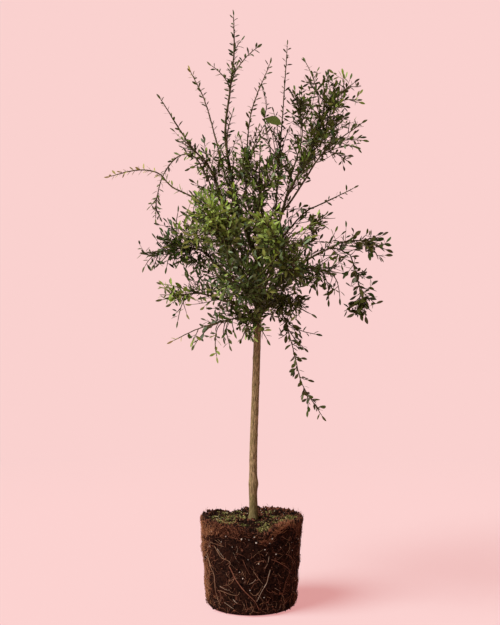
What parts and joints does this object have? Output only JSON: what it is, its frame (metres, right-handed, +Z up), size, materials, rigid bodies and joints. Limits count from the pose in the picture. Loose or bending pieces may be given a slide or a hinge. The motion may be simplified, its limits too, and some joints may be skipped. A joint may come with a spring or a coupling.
{
  "type": "standard citrus tree on its root ball",
  "caption": "Small standard tree: a clear, grafted stem rises from a bare, pot-shaped root ball to a loose, airy head of wiry, small-leaved, thorny shoots.",
  "frame": {"origin": "centre of the root ball's flat underside, on the ground", "axes": "+Z up along the stem, +X to the viewer's right and -Y towards the viewer, at the front"},
  "size_m": [0.7514, 0.531, 1.5897],
  "materials": {
    "bark": "matt, finely ridged tan-brown bark",
    "green_wood": "smooth, matt, greenish-brown young bark",
    "foliage": "leathery leaves with a soft gloss, deep green to yellow-green",
    "soil": "matt, crumbling dark brown potting soil with roots and fibre"
  },
  "bodies": {
    "root": {"root_ball": "soil", "trunk": "bark", "bough_leader": "bark", "branch_spear_high_left": "green_wood", "bough_upper_right": "bark", "branch_inner_right": "green_wood", "branch_outer_right": "green_wood", "branch_spear_right": "green_wood", "bough_back_top": "bark", "bough_upper_left": "bark", "branch_arch_left": "green_wood", "bough_top": "bark", "branch_centre": "green_wood", "bough_back_right": "bark", "bough_front_left": "bark", "bough_right_high": "bark", "branch_right_middle": "green_wood", "bough_left_high": "bark", "bough_back_left": "bark", "bough_front_right": "bark", "bough_right": "bark", "branch_arc_right": "green_wood", "branch_skirt_right": "green_wood", "bough_left": "bark", "bough_back_low": "bark", "bough_front_low": "bark", "bough_low_right": "bark", "branch_trail_right": "green_wood", "bough_low_left": "bark", "bough_trail_left": "bark", "spear_leader": "foliage", "spear_high_left": "foliage", "spear_left": "foliage", "whip_arch_left": "foliage", "whip_left": "foliage", "head_left": "foliage", "head_low_left": "foliage", "trail_left": "foliage", "skirt_front": "foliage", "head_front_left": "foliage", "head_front_low": "foliage", "head_front_right": "foliage", "spear_centre": "foliage", "head_top": "foliage", "head_top_right": "foliage", "head_inner_right": "foliage", "head_outer_right": "foliage", "spear_right": "foliage", "head_right_high": "foliage", "head_right_middle": "foliage", "head_right": "foliage", "arc_right": "foliage", "skirt_right": "foliage", "head_low_right": "foliage", "trail_right": "foliage", "head_back_left": "foliage", "head_back_right": "foliage", "head_back_low": "foliage", "head_back_top": "foliage"}
  },
  "joints": []
}
